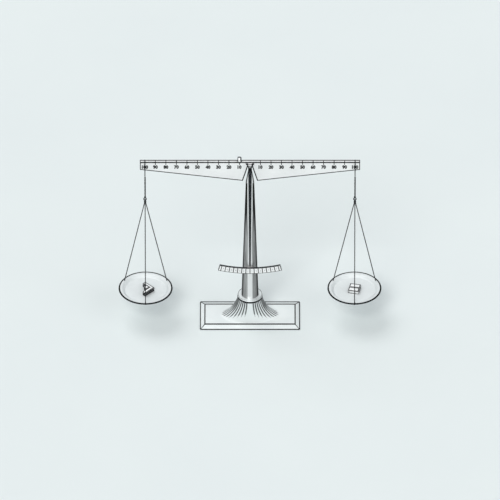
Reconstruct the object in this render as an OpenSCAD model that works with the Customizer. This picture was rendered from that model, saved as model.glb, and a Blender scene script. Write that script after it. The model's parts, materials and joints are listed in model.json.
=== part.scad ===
// Balance scale: a graduated beam on a tapered column, with a rider, an index
// pointer with its arc, and two pans hung on cords. Millimetres, +Z up.
// The origin is on the table under the middle of the base, and +X runs along the beam.

/* [Base] */
// Length of the base plate, along the beam
base_length = 130; // [110:1:170]
// Depth of the base plate
base_depth = 60; // [52:1:80]
// Height of the plate's upright edge
base_edge = 0.9; // [0.6:0.1:2]
// Rise of the plate's bevel above its edge
base_bevel = 2.5; // [1.5:0.1:3.5]
// Run of the bevel at the two ends
bevel_end_run = 6.2; // [3:0.1:9]
// Run of the bevel at the front and the back
bevel_side_run = 8.5; // [3:0.1:9]
// Half length of the flare where it meets the plate
flare_half_length = 39; // [30:0.5:44]
// Half depth of the flare where it meets the plate
flare_half_depth = 19.5; // [18:0.5:21]
// Height of the flare's top above the table
flare_top = 33.5; // [30:0.5:40]
// Fullness of the flare's curve, where 1 is an ellipse
flare_power = 1.3; // [1:0.05:1.6]

/* [Column] */
// Outer radius of the collar round the column's foot
collar_radius = 16; // [14.5:0.1:17.5]
// Height of the collar
collar_height = 3; // [2:0.1:5]
// Radius of the column at the collar
column_foot_radius = 11; // [10:0.1:12.5]
// Radius of the column at its top
column_top_radius = 5.5; // [5:0.1:6]
// Length of the column above the collar
column_length = 182.5; // [170:0.5:195]
// Depth of the column in its socket below the flare's top
socket_depth = 21.5; // [16:0.5:22]
// Wall of the column at its foot
column_foot_wall = 3; // [2:0.1:4]
// Wall of the column at its top
column_top_wall = 1.75; // [1.4:0.05:2]
// Height of the conical head above the column
head_height = 25.5; // [22:0.5:28]
// Radius of the head's tip
head_tip_radius = 1.35; // [1.2:0.05:1.5]
// Depth of the head's spigot in the column
head_spigot = 9.5; // [6:0.5:14]

/* [Column fastening] */
// Diameter of the bolt that holds the column on the base
column_bolt = 6; // [5:0.5:7]
// Width of the bolt's hexagonal head across its corners
column_bolt_head = 11; // [10:0.5:13]
// Height of the bolt's head
column_bolt_head_height = 3.2; // [2:0.1:3.4]
// Outer radius of the washer
washer_radius = 8.5; // [7.5:0.1:9]
// Thickness of the washer
washer_thickness = 1; // [0.6:0.1:1.4]
// Radius of the recess under the base
recess_radius = 10; // [9.5:0.1:11]
// Depth of the recess under the base
recess_depth = 6; // [5.5:0.1:7]
// Height of the plug in the column's foot
plug_height = 14; // [10:0.5:18]

/* [Beam] */
// Length of the beam
beam_length = 285; // [280:1:300]
// Thickness of the beam
beam_thickness = 4.8; // [4:0.1:6]
// Height of the beam's top above the knife edge
beam_rise = 6; // [5.6:0.1:6.6]
// Height of the beam at its ends
beam_end_height = 12.5; // [11:0.1:14]
// Height of the beam beside the notch
beam_middle_height = 30.2; // [27:0.1:33]
// Half width of the notch at the beam's lower edge
notch_half_width = 9.2; // [8.8:0.1:12]
// Half width of the notch at its ceiling
notch_top_half_width = 1.9; // [1.8:0.1:2.2]
// Height of the notch's ceiling above the knife edge
notch_ceiling = 1.2; // [1:0.05:1.4]
// Distance of each pan's hanger from the knife edge
arm = 136; // [130:0.5:138]
// Number of graduations on each arm
graduations = 10; // [5:1:20]
// Width of a graduation's groove
groove_width = 1; // [0.5:0.05:1.1]
// Depth of a graduation's groove
groove_depth = 0.25; // [0.15:0.05:0.4]
// Length of a groove down the beam's front face
groove_drop = 4.7; // [3:0.1:5.5]
// Height of the knife above its edge
knife_height = 2.4; // [2.2:0.05:2.6]
// Half width of the knife at its top
knife_half_width = 1.4; // [1.2:0.05:1.5]

/* [Pointer] */
// Radius of the trumpet-shaped boss at its top
boss_radius = 5.6; // [4.8:0.1:6]
// Radius of the boss at its lower end
boss_neck_radius = 2.4; // [2.2:0.1:2.8]
// Height of the boss
boss_height = 8.7; // [8:0.1:9.5]
// Radius of the raised half disc on the boss
boss_disc_radius = 2.8; // [2:0.1:3.4]
// Width of the pointer at its root
pointer_root_width = 4.6; // [3.6:0.1:5]
// Width of the pointer above its point
pointer_end_width = 2; // [1.4:0.1:2.6]
// Thickness of the pointer at its root
pointer_root_thickness = 1.6; // [1.2:0.1:2]
// Thickness of the pointer at its point
pointer_end_thickness = 1; // [0.7:0.1:1.4]
// Gap between the pointer's back and the column
pointer_gap = 0.9; // [0.7:0.1:1.5]
// Gap between the pointer's point and the arc
point_gap = 0.5; // [0.3:0.1:1.5]
// Distance of the two boss screws from the middle
boss_screw_spread = 3; // [2.8:0.05:3.2]
// Radius of a boss screw
boss_screw_radius = 0.7; // [0.5:0.05:0.8]

/* [Index arc] */
// Inner radius of the arc about the knife edge
arc_radius = 158.1; // [150:0.5:165]
// Height of the arc's face
arc_height = 8.4; // [7:0.1:11]
// Thickness of the arc
arc_thickness = 2.8; // [2:0.1:4]
// Half angle of the arc
arc_half_angle = 14.4; // [12:0.1:17]
// Number of divisions on each side of the arc's middle
arc_divisions = 7; // [4:1:10]
// Angle between two divisions
division_angle = 1.9; // [1:0.1:2]
// Least thickness of the saddle between the arc and the column
saddle_thickness = 1; // [0.6:0.1:3]
// Half width of the saddle
saddle_half_width = 5; // [4:0.1:6]
// Radius of the screw that holds the arc
arc_screw_radius = 1.5; // [1.2:0.1:1.8]

/* [Rider] */
// Graduation at which the rider stands, counted to the left
rider_mark = 1; // [1:1:8]
// Width of the rider along the beam
rider_width = 5.3; // [4:0.1:8]
// Thickness of the rider's two cheeks
rider_cheek = 0.85; // [0.6:0.05:1.5]
// Height of the rider above the beam
rider_height = 4.7; // [4:0.1:7]
// Length of the rider's cheeks down the beam's sides
rider_drop = 1.1; // [0.8:0.1:1.3]
// Length of the index point below the rider's front cheek
rider_tip = 0.7; // [0.4:0.1:0.9]
// Radius of the rider's rounded shoulders
rider_shoulder = 1.9; // [1:0.1:1.95]
// Sliding clearance between the rider and the beam
rider_clearance = 0.12; // [0.08:0.02:0.2]

/* [Hangers] */
// Radius of the stirrup's wire
wire_radius = 0.6; // [0.5:0.05:0.6]
// Running clearance of the stirrup in its slot
wire_clearance = 0.05; // [0.03:0.01:0.1]
// Gap between the stirrup's legs and the beam's faces
leg_gap = 0.35; // [0.3:0.05:0.6]
// Depth of the stirrup's cross wire below the beam's top, to its middle
hook_depth = 0.7; // [0.6:0.05:1]
// Length of the stirrup's two legs below its cross wire
leg_length = 19.3; // [18:0.1:23]
// Height of the part where the two legs meet
leg_taper = 6; // [4:0.5:8]
// Radius of the twisted stem below the legs
stem_radius = 0.85; // [0.7:0.05:1]
// Distance from the cross wire down to the middle of the eye
eye_drop = 60.6; // [50:0.1:70]
// Radius of the eye to the middle of its wire
eye_radius = 1.7; // [1.6:0.05:2.2]
// Radius of the ring to the middle of its wire
ring_radius = 1.5; // [1.45:0.05:2]
// Radius of the ring's wire
ring_wire = 0.45; // [0.35:0.05:0.5]
// Radius of the knot under the ring
knot_radius = 1.7; // [1.6:0.05:2]
// Radius of a pan's cord
cord_radius = 0.6; // [0.4:0.05:0.65]

/* [Pans] */
// Radius of a pan to the outside of its bead
pan_radius = 35.2; // [33:0.1:40]
// Distance from the knife edge down to a pan's rim
pan_drop = 199.7; // [185:0.1:203]
// Depth of a pan
pan_depth = 3.5; // [2.5:0.1:6]
// Wall of a pan
pan_wall = 0.8; // [0.6:0.05:1.2]
// Radius of a pan's rolled bead
bead_radius = 0.85; // [0.5:0.05:0.95]
// Width of the flat rim between the bead and the dish
rim_width = 2.4; // [2.2:0.1:4]
// Run of the dish's curved side
side_run = 5; // [3:0.1:8]
// Radius of a cord's hole in the rim
cord_hole = 0.85; // [0.75:0.05:0.9]
// Radius of the knot under each hole
rim_knot_radius = 1.3; // [1.1:0.05:1.4]

/* [Weights] */
// Length of the angle-shaped weight's two arms
ell_length = 17.2; // [15:0.1:19]
// Width of the angle-shaped weight's two arms
ell_width = 4.6; // [3.5:0.1:6]
// Thickness of the angle-shaped weight
ell_thickness = 2.9; // [2:0.1:4]
// Thickness of the plate under the angle-shaped weight
plate_thickness = 2.9; // [2:0.1:4]
// Side of the small square weight in the angle's corner
square_side = 5; // [3.5:0.1:6]
// Thickness of the small square weight
square_thickness = 3.7; // [2:0.1:5]
// Distance of the angle's corner to the right of the pan's middle
corner_reach = 11.5; // [9:0.5:13]
// Turn of the left weights about the vertical
left_turn = -45; // [-60:1:-30]
// Length of a bar weight
bar_length = 14.3; // [12:0.1:18]
// Width of a bar weight
bar_width = 7.8; // [6:0.1:10]
// Turn of the right weights about the vertical
right_turn = -12; // [-25:1:10]

/* [Hidden] */
$fn = 64;
e = 0.01;
fit = 0.03;
seat = 0.05;

base_height = base_edge + base_bevel;
collar_top = flare_top + collar_height;
column_top = collar_top + column_length;
socket_floor = flare_top - socket_depth;
head_tip = column_top + head_height;
column_slope = (column_foot_radius - column_top_radius) / column_length;
spigot_radius = column_top_radius - column_top_wall - fit;

// The bearing block on the head's tip holds the knife edge in a wide groove.
bearing_half_width = 1.3;
bearing_half_depth = 2;
bearing_height = 1.85;
bearing_pin_radius = 0.7;
bearing_pin_length = 3.2;
groove_half_width = 1.1;
bearing_groove = 0.4;
pivot_z = head_tip + bearing_height - bearing_groove + seat;

beam_top = pivot_z + beam_rise;
beam_front = -beam_thickness / 2;
beam_end = beam_length / 2;
step = arm / graduations;
boss_screw_z = pivot_z + notch_ceiling + 1.1;
boss_screw_head = 1.3;
boss_screw_head_height = 0.8;
disc_rise = 0.2;

// The rider's cheeks pass over the boss with room to spare.
rider_low = beam_top - rider_drop - rider_tip;
boss_top = rider_low - 0.3;
boss_low = boss_top - boss_height;

// Back face of the pointer, which leans forward with the column's taper.
function column_r(z) = column_top_radius + max(0, column_top - z) * column_slope;
arc_top_z = pivot_z - arc_radius;
arc_mid_z = arc_top_z - arc_height / 2;
pointer_tip_z = arc_top_z + point_gap;
pointer_root_z = boss_low - 0.8;
pointer_back_tip = -(column_r(pointer_tip_z) + pointer_gap);
pointer_back_root = -(column_top_radius + pointer_gap - 0.1);
function pointer_back(z) = pointer_back_tip
    + (pointer_back_root - pointer_back_tip) * (z - pointer_tip_z) / (pointer_root_z - pointer_tip_z);
function pointer_share(z) = (z - pointer_tip_z) / (pointer_root_z - pointer_tip_z);
function pointer_w(z) = pointer_end_width + (pointer_root_width - pointer_end_width) * pointer_share(z);
function pointer_t(z) = pointer_end_thickness
    + (pointer_root_thickness - pointer_end_thickness) * pointer_share(z);
neck_length = 7;
neck_low = boss_low - neck_length;
rivet_z = boss_low - 3.6;
rivet_radius = 0.6;
rivet_head = 1.1;

arc_back = -(column_r(arc_mid_z) + saddle_thickness);
arc_front = arc_back - arc_thickness;
spot_y = column_r(arc_mid_z) - 0.8;
screw_head_radius = 2.6;
screw_head_height = 1.6;

rider_x = -rider_mark * step;
rider_slot = beam_thickness / 2 + rider_clearance;
rider_half_depth = rider_slot + rider_cheek;
rider_panel = 0.3;
rider_frame = 1;
rider_total = rider_height + rider_drop;

leg_y = beam_thickness / 2 + leg_gap + wire_radius;
hang_z = beam_top - hook_depth;
eye_z = hang_z - eye_drop;
ring_gap = 0.05;
ring_z = eye_z - eye_radius + wire_radius + ring_gap - ring_radius + ring_wire;
knot_z = ring_z - ring_radius - knot_radius / 2;
cord_top_z = knot_z - knot_radius * 0.75;
cord_top_r = knot_radius / 2;
rim_z = pivot_z - pan_drop;
floor_z = rim_z - pan_depth;
hole_r = pan_radius - 2 * bead_radius - rim_width / 2;
flange_r = pan_radius - 2 * bead_radius - rim_width;
floor_r = flange_r - side_run;
cord_low_z = rim_z - pan_wall - rim_knot_radius;

// The three cords of a pan stand a third of a turn apart.
FRONT = 270;
LEFT = FRONT - 120;
RIGHT = LEFT - 120;

// Gap between the small square weight and the angle's arms, and between the two bars.
square_gap = 0.15;
bar_gap = 0.2;

// The bars balance the left weights and the rider's moment, all of one metal.
rider_area = rider_width * rider_total - (2 - PI / 2) * rider_shoulder * rider_shoulder;
panel_area = (rider_width - 2 * rider_frame) * (rider_height - 2 * rider_frame);
rider_volume = rider_area * 2 * rider_half_depth
    - 2 * rider_slot * (rider_drop + rider_clearance) * rider_width - 2 * panel_area * rider_panel
    + rider_tip * rider_width / 2 * rider_cheek / 2;
ell_area = (2 * ell_length - ell_width) * ell_width;
plate_volume = (ell_area + pow(square_side + square_gap, 2)) * plate_thickness;
square_volume = square_side * square_side * square_thickness;
left_volume = plate_volume + ell_area * ell_thickness + square_volume;
bar_height = (left_volume + rider_volume * rider_mark / graduations) / (2 * bar_length * bar_width);

// One ring of the flare, an ellipse whose half depth follows its half length.
function flare_depth(rx) = collar_radius
    + (rx - collar_radius) * (flare_half_depth - collar_radius) / (flare_half_length - collar_radius);
function ellipse_ring(rx, z, n) = [for (i = [0:n - 1])
    [rx * cos(360 * i / n), flare_depth(rx) * sin(360 * i / n), z]];
function flare_x(a) = flare_half_length - (flare_half_length - collar_radius) * pow(cos(a), flare_power);
function flare_z(a) = flare_top - (flare_top - base_height) * pow(sin(a), flare_power);

// A closed skin over stacked rings of n points each, from the lowest ring to the highest.
module skin(rings, n) {
    count = len(rings);
    points = [for (r = rings) each r];
    sides = [for (k = [0:count - 2], i = [0:n - 1]) each [
        [k * n + i, (k + 1) * n + i, (k + 1) * n + (i + 1) % n],
        [k * n + i, (k + 1) * n + (i + 1) % n, k * n + (i + 1) % n]]];
    low = [[for (i = [0:n - 1]) i]];
    high = [[for (i = [n - 1:-1:0]) (count - 1) * n + i]];
    polyhedron(points, concat(sides, low, high), convexity = 6);
}

// A round rod from point a to point b.
module rod(a, b, r) {
    d = b - a;
    translate(a) rotate([0, acos(d[2] / norm(d)), atan2(d[1], d[0])]) cylinder(r = r, h = norm(d));
}

// A cylinder along Y from y0 to y1.
module cross_pin(x, y0, y1, z, r) {
    translate([x, y1, z]) rotate([90, 0, 0]) cylinder(r = r, h = y1 - y0);
}

// A prism along Y whose outline is drawn in X and Z.
module front_prism(y0, y1) {
    translate([0, y1, 0]) rotate([90, 0, 0]) linear_extrude(y1 - y0) children();
}

// A prism along X whose outline is drawn in Y and Z.
module side_prism(x0, x1) {
    translate([x0, 0, 0]) rotate([90, 0, 90]) linear_extrude(x1 - x0) children();
}

module bevelled_plate() {
    intersection() {
        front_prism(-base_depth / 2, base_depth / 2)
            polygon([[-base_length / 2, 0], [base_length / 2, 0], [base_length / 2, base_edge],
                [base_length / 2 - bevel_end_run, base_height],
                [-base_length / 2 + bevel_end_run, base_height], [-base_length / 2, base_edge]]);
        side_prism(-base_length / 2, base_length / 2)
            polygon([[-base_depth / 2, 0], [base_depth / 2, 0], [base_depth / 2, base_edge],
                [base_depth / 2 - bevel_side_run, base_height],
                [-base_depth / 2 + bevel_side_run, base_height], [-base_depth / 2, base_edge]]);
    }
}

module flare() {
    levels = 12;
    around = 72;
    rings = concat([ellipse_ring(flare_half_length, base_height - 0.6, around)],
        [for (k = [levels:-1:0]) ellipse_ring(flare_x(90 * k / levels), flare_z(90 * k / levels), around)]);
    skin(rings, around);
}

module base_casting() {
    color("lightsteelblue") difference() {
        union() {
            bevelled_plate();
            flare();
        }
        translate([0, 0, socket_floor]) cylinder(r = column_foot_radius + fit, h = socket_depth + 1);
        translate([0, 0, -1]) cylinder(r = recess_radius, h = recess_depth + 1);
        translate([0, 0, -1]) cylinder(d = column_bolt + 0.4, h = socket_floor + 2);
    }
}

module column_collar() {
    edge = 0.6;
    color("whitesmoke") rotate_extrude() difference() {
        translate([column_foot_radius + fit, flare_top])
            square([collar_radius - column_foot_radius - fit, collar_height]);
        translate([collar_radius, collar_top]) rotate(45) square(2 * edge, center = true);
    }
}

module column_tube() {
    bore_foot = column_foot_radius - column_foot_wall;
    bore_top = column_top_radius - column_top_wall;
    spigot_floor = column_top - head_spigot - 0.5;
    color("dimgray") difference() {
        rotate_extrude() polygon([[bore_foot, socket_floor], [column_foot_radius, socket_floor],
            [column_foot_radius, collar_top], [column_top_radius, column_top], [bore_top, column_top],
            [bore_top, spigot_floor], [bore_foot, collar_top + 4]]);
        cross_pin(0, -column_foot_radius - 1, column_foot_radius + 1, arc_mid_z, arc_screw_radius + 0.1);
        cross_pin(0, spot_y, column_foot_radius + 1, arc_mid_z, screw_head_radius + 0.2);
    }
}

module column_plug() {
    color("silver") difference() {
        translate([0, 0, socket_floor])
            cylinder(r = column_foot_radius - column_foot_wall - fit, h = plug_height);
        translate([0, 0, socket_floor - 1]) cylinder(d = column_bolt + 2 * fit, h = plug_height);
    }
}

module column_bolt() {
    head_top = recess_depth - washer_thickness;
    color("gray") {
        translate([0, 0, head_top - column_bolt_head_height])
            cylinder(d = column_bolt_head, h = column_bolt_head_height, $fn = 6);
        translate([0, 0, head_top - e])
            cylinder(d = column_bolt, h = socket_floor + plug_height - 2 - head_top);
    }
}

module column_washer() {
    color("silver") translate([0, 0, recess_depth - washer_thickness]) difference() {
        cylinder(r = washer_radius, h = washer_thickness);
        translate([0, 0, -1]) cylinder(d = column_bolt + 0.4, h = washer_thickness + 2);
    }
}

module column_head() {
    color("gainsboro") difference() {
        rotate_extrude() polygon([[0, column_top - head_spigot], [spigot_radius, column_top - head_spigot],
            [spigot_radius, column_top], [column_top_radius, column_top], [head_tip_radius, head_tip],
            [0, head_tip]]);
        translate([0, 0, head_tip - bearing_pin_length])
            cylinder(r = bearing_pin_radius + fit, h = bearing_pin_length + 1);
    }
}

module fulcrum_bearing() {
    block_top = head_tip + bearing_height;
    color("slategray") difference() {
        union() {
            translate([-bearing_half_width, -bearing_half_depth, head_tip])
                cube([2 * bearing_half_width, 2 * bearing_half_depth, bearing_height]);
            translate([0, 0, head_tip - bearing_pin_length + 0.2])
                cylinder(r = bearing_pin_radius, h = bearing_pin_length);
        }
        front_prism(-bearing_half_depth - 1, bearing_half_depth + 1)
            polygon([[0, block_top - bearing_groove], [groove_half_width, block_top],
                [groove_half_width, block_top + 1], [-groove_half_width, block_top + 1],
                [-groove_half_width, block_top]]);
    }
}

// A sector of a ring about the knife edge, drawn in X and Z.
module arc_outline() {
    reach = arc_radius + 2 * arc_height;
    translate([0, pivot_z]) intersection() {
        difference() {
            circle(r = arc_radius + arc_height, $fn = 256);
            circle(r = arc_radius, $fn = 256);
        }
        polygon([[0, 0], [-reach * tan(arc_half_angle), -reach], [reach * tan(arc_half_angle), -reach]]);
    }
}

module index_arc() {
    color("white") difference() {
        front_prism(arc_front, arc_back) arc_outline();
        for (i = [-arc_divisions:arc_divisions])
            translate([0, arc_front, pivot_z]) rotate([0, i * division_angle, 0])
                translate([-groove_width / 2, -1, -arc_radius - arc_height - 1])
                    cube([groove_width, 1 + groove_depth, arc_height + 2]);
        cross_pin(0, arc_back - 2, arc_back + 1, arc_mid_z, arc_screw_radius + fit);
    }
}

module arc_saddle() {
    height = arc_height - 1.4;
    wrap = 2.6;
    color("dimgray") difference() {
        translate([-saddle_half_width, arc_back, arc_mid_z - height / 2])
            cube([2 * saddle_half_width, column_r(arc_mid_z), height]);
        translate([0, 0, collar_top])
            cylinder(r1 = column_foot_radius + fit, r2 = column_top_radius + fit, h = column_length);
        translate([-saddle_half_width - 1, wrap - column_r(arc_mid_z), arc_mid_z - height])
            cube([2 * saddle_half_width + 2, 2 * column_foot_radius, 2 * height]);
        cross_pin(0, arc_back - 1, 0, arc_mid_z, arc_screw_radius + 0.1);
    }
}

module arc_screw() {
    color("gray") difference() {
        union() {
            cross_pin(0, spot_y, spot_y + screw_head_height, arc_mid_z, screw_head_radius);
            cross_pin(0, arc_back - 1.9, spot_y + e, arc_mid_z, arc_screw_radius);
        }
        translate([-screw_head_radius - 1, spot_y + 1, arc_mid_z - 0.35])
            cube([2 * screw_head_radius + 2, 2, 0.7]);
    }
}

module knife_outline(gap) {
    polygon([[0, pivot_z], [knife_half_width + gap, pivot_z + knife_height + gap],
        [-knife_half_width - gap, pivot_z + knife_height + gap]]);
}

module beam_outline() {
    low_end = beam_top - beam_end_height;
    low_middle = beam_top - beam_middle_height;
    ceiling = pivot_z + notch_ceiling;
    polygon([[-beam_end, beam_top], [beam_end, beam_top], [beam_end, low_end],
        [notch_half_width, low_middle], [notch_top_half_width, ceiling],
        [-notch_top_half_width, ceiling], [-notch_half_width, low_middle], [-beam_end, low_end]]);
}

module beam() {
    back = beam_thickness / 2;
    slot = wire_radius + wire_clearance;
    color("whitesmoke") difference() {
        front_prism(beam_front, back) beam_outline();
        front_prism(beam_front - 1, back + 1) knife_outline(fit);
        for (side = [-1, 1]) {
            translate([side * arm - slot, beam_front - 1, hang_z])
                cube([2 * slot, beam_thickness + 2, hook_depth + 1]);
            cross_pin(side * arm, beam_front - 1, back + 1, hang_z, slot);
            cross_pin(side * boss_screw_spread, beam_front - 1, back + 1, boss_screw_z,
                boss_screw_radius + fit);
            for (i = [1:graduations]) {
                translate([side * i * step - groove_width / 2, beam_front - 1, beam_top - groove_depth])
                    cube([groove_width, beam_thickness + 2, 1]);
                translate([side * i * step - groove_width / 2, beam_front - 1, beam_top - groove_drop])
                    cube([groove_width, 1 + groove_depth, groove_drop + 1]);
            }
        }
    }
}

module beam_knife() {
    color("slategray") front_prism(beam_front, beam_thickness / 2) knife_outline(0);
}

// Five corners of the pointer at height z: a flat back and a ridge along the front.
function pointer_ring(z, w) = let (t = pointer_t(z), b = pointer_back(z))
    [[-w / 2, b, z], [-w / 2, b - t / 3, z], [0, b - t, z], [w / 2, b - t / 3, z], [w / 2, b, z]];

module boss_trumpet() {
    steps = 10;
    rise = boss_height - disc_rise;
    translate([0, beam_front, boss_low]) rotate_extrude() polygon(concat([[0, 0]],
        [for (k = [0:steps]) [boss_neck_radius + (boss_radius - boss_neck_radius) * pow(k / steps, 2.4),
            rise * k / steps]],
        [[boss_disc_radius, rise], [boss_disc_radius, boss_height], [0, boss_height]]));
}

module boss_neck() {
    low_radius = 2.1;
    hull() {
        translate([0, beam_front - 2, boss_low]) cylinder(r = boss_neck_radius, h = 1.2, $fn = 32);
        translate([0, pointer_back(neck_low) - 0.3, neck_low]) cylinder(r = low_radius, h = 1, $fn = 32);
    }
}

module pointer_boss() {
    reach = boss_low - neck_low + 2 * boss_radius;
    color("dimgray") difference() {
        union() {
            boss_trumpet();
            boss_neck();
        }
        translate([-reach, beam_front, boss_low - reach]) cube([2 * reach, reach, 3 * reach]);
        side_prism(-reach, reach) polygon([[pointer_back(neck_low - 1), neck_low - 1],
            [pointer_back(pointer_root_z), pointer_root_z + fit], [-reach, pointer_root_z + fit],
            [-reach, neck_low - 1]]);
        for (side = [-1, 1])
            cross_pin(side * boss_screw_spread, beam_front - 1.7, beam_front + 1, boss_screw_z,
                boss_screw_radius + fit);
        cross_pin(0, -reach, 0, rivet_z, rivet_radius + fit);
    }
}

module boss_screws() {
    back = beam_thickness / 2;
    color("gray") for (side = [-1, 1]) difference() {
        union() {
            cross_pin(side * boss_screw_spread, back, back + boss_screw_head_height, boss_screw_z,
                boss_screw_head);
            cross_pin(side * boss_screw_spread, beam_front - 1.6, back + e, boss_screw_z,
                boss_screw_radius);
        }
        translate([side * boss_screw_spread - 2, back + 0.45, boss_screw_z - 0.15]) cube([4, 1, 0.3]);
    }
}

module pointer() {
    point_z = pointer_tip_z + 3;
    color("black") difference() {
        skin([pointer_ring(pointer_tip_z, 0.5), pointer_ring(point_z, pointer_w(point_z)),
            pointer_ring(pointer_root_z, pointer_root_width)], 5);
        cross_pin(0, -2 * column_foot_radius, 0, rivet_z, rivet_radius + fit);
    }
}

module pointer_rivet() {
    front = pointer_back(rivet_z) - pointer_t(rivet_z);
    color("silver") {
        cross_pin(0, front - 0.4, front, rivet_z, rivet_head);
        cross_pin(0, front - e, pointer_back(rivet_z) + 1.6, rivet_z, rivet_radius);
    }
}

// Outline of the rider from the front: round shoulders on a straight-sided body.
module rider_outline() {
    half = rider_width / 2;
    low = beam_top - rider_drop;
    high = beam_top + rider_height;
    translate([rider_x - half, low]) square([rider_width, high - low - rider_shoulder]);
    translate([rider_x - half + rider_shoulder, low])
        square([rider_width - 2 * rider_shoulder, high - low]);
    for (side = [-1, 1])
        translate([rider_x + side * (half - rider_shoulder), high - rider_shoulder])
            circle(r = rider_shoulder);
}

module rider() {
    low = beam_top - rider_drop;
    color("silver") difference() {
        union() {
            front_prism(-rider_half_depth, rider_half_depth) rider_outline();
            front_prism(-rider_half_depth, -rider_slot)
                polygon([[rider_x - 1.3, low + e], [rider_x + 1.3, low + e],
                    [rider_x, low - rider_tip]]);
        }
        translate([rider_x - rider_width, -rider_slot, low - 1])
            cube([2 * rider_width, 2 * rider_slot, 1 + rider_drop + rider_clearance]);
        for (side = [-1, 1])
            translate([rider_x, side * rider_half_depth, beam_top + rider_height / 2])
                cube([rider_width - 2 * rider_frame, 2 * rider_panel, rider_height - 2 * rider_frame],
                    center = true);
    }
}

// Straight lengths of wire, with an elbow a little fuller than the wire at each bend.
module wire_path(points, r) {
    elbow = 0.04;
    for (i = [0:len(points) - 2]) rod(points[i], points[i + 1], r);
    for (i = [0:len(points) - 1]) translate(points[i]) sphere(r = r + elbow, $fn = 32);
}

module stirrup(x) {
    leg_low = hang_z - leg_length;
    meet_z = leg_low - leg_taper;
    color("gray") {
        wire_path([[x, 0, meet_z], [x, -leg_y, leg_low], [x, -leg_y, hang_z],
            [x, leg_y, hang_z], [x, leg_y, leg_low], [x, 0, meet_z]], wire_radius);
        translate([x, 0, eye_z + eye_radius])
            cylinder(r = stem_radius, h = meet_z + 0.6 - eye_z - eye_radius);
        translate([x, 0, eye_z]) rotate([90, 0, 0]) rotate_extrude()
            translate([eye_radius, 0]) circle(r = wire_radius);
    }
}

module ring_solid(x, gap) {
    translate([x, 0, ring_z]) rotate([0, 90, 0]) rotate_extrude()
        translate([ring_radius, 0]) circle(r = ring_wire + gap);
}

module ring(x) {
    color("gray") ring_solid(x, 0);
}

function cord_top(x, a) = [x + cord_top_r * cos(a), cord_top_r * sin(a), cord_top_z];
function cord_low(x, a) = [x + hole_r * cos(a), hole_r * sin(a), cord_low_z];

module cord_solid(x, a, gap) {
    rod(cord_top(x, a), cord_low(x, a), cord_radius + gap);
}

module cord(x, a) {
    color("black") cord_solid(x, a, 0);
}

module knot(x) {
    color("black") difference() {
        union() {
            translate([x, 0, knot_z]) sphere(r = knot_radius);
            translate([x, 0, knot_z - 0.9 * knot_radius]) cylinder(r = 0.95 * knot_radius, h = knot_radius);
        }
        ring_solid(x, fit);
        for (a = [FRONT, RIGHT, LEFT]) cord_solid(x, a, fit);
    }
}

// Height of the dish's upper face at radius r.
function dish_z(r) = floor_z + pan_depth * (1 - cos(180 * (r - floor_r) / side_run)) / 2;

module pan(x) {
    side = [for (k = [0:12]) [floor_r + side_run * k / 12, dish_z(floor_r + side_run * k / 12)]];
    edge_r = pan_radius - bead_radius;
    lip_r = edge_r - bead_radius / 2;
    color("gainsboro") difference() {
        translate([x, 0, 0]) union() {
            rotate_extrude($fn = 96) polygon(concat([[0, floor_z]], side,
                [[lip_r, rim_z], [lip_r, rim_z - pan_wall]],
                [for (k = [12:-1:0]) side[k] - [0, pan_wall]], [[0, floor_z - pan_wall]]));
            rotate_extrude($fn = 96) translate([edge_r, rim_z - pan_wall / 2]) circle(r = bead_radius);
        }
        for (a = [FRONT, RIGHT, LEFT])
            translate([x + hole_r * cos(a), hole_r * sin(a), rim_z - pan_wall - 1])
                cylinder(r = cord_hole, h = pan_wall + 2);
    }
}

module rim_knots(x) {
    color("black") for (a = [FRONT, RIGHT, LEFT]) difference() {
        translate(cord_low(x, a)) sphere(r = rim_knot_radius - fit);
        cord_solid(x, a, fit);
    }
}

// The angle's outer corner is the origin of the left weights, with its arms along -X and -Y.
module left_place(z) {
    corner_y = -2;
    translate([corner_reach - arm, corner_y, floor_z + z]) rotate([0, 0, left_turn]) children();
}

module right_place(z) {
    translate([arm, 0, floor_z + z]) rotate([0, 0, right_turn]) children();
}

module ell_outline() {
    translate([-ell_length, -ell_width]) square([ell_length, ell_width]);
    translate([-ell_width, -ell_length]) square([ell_width, ell_length]);
}

module weight_plate() {
    seat_side = square_side + square_gap;
    color("silver") left_place(seat) linear_extrude(plate_thickness) union() {
        ell_outline();
        translate([-ell_width - seat_side, -ell_width - seat_side]) square(seat_side + e);
    }
}

module weight_ell() {
    color("silver") left_place(2 * seat + plate_thickness) linear_extrude(ell_thickness) ell_outline();
}

module weight_square() {
    low = -ell_width - square_gap - square_side;
    color("silver") left_place(2 * seat + plate_thickness) translate([low, low, 0])
        cube([square_side, square_side, square_thickness]);
}

module weight_bar(side) {
    color("silver") right_place(seat)
        translate([-bar_length / 2, side > 0 ? bar_gap / 2 : -bar_gap / 2 - bar_width, 0])
            cube([bar_length, bar_width, bar_height]);
}

base_casting();
column_collar();
column_tube();
column_plug();
column_bolt();
column_washer();
column_head();
fulcrum_bearing();
index_arc();
arc_saddle();
arc_screw();
beam();
beam_knife();
pointer_boss();
boss_screws();
pointer();
pointer_rivet();
rider();
stirrup(-arm);  // left_stirrup
ring(-arm);  // left_ring
knot(-arm);  // left_knot
cord(-arm, FRONT);  // left_cord_front
cord(-arm, RIGHT);  // left_cord_right
cord(-arm, LEFT);  // left_cord_left
pan(-arm);  // left_pan
rim_knots(-arm);  // left_rim_knots
stirrup(arm);  // right_stirrup
ring(arm);  // right_ring
knot(arm);  // right_knot
cord(arm, FRONT);  // right_cord_front
cord(arm, RIGHT);  // right_cord_right
cord(arm, LEFT);  // right_cord_left
pan(arm);  // right_pan
rim_knots(arm);  // right_rim_knots
weight_plate();
weight_ell();
weight_square();
weight_bar(-1);  // weight_bar_front
weight_bar(1);  // weight_bar_rear
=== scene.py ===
# Looks of the balance scale: finishes, cords, wires, scales, floor, light and camera.
import json
import math

import bmesh
import bpy
from mathutils import Matrix, Vector

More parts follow.
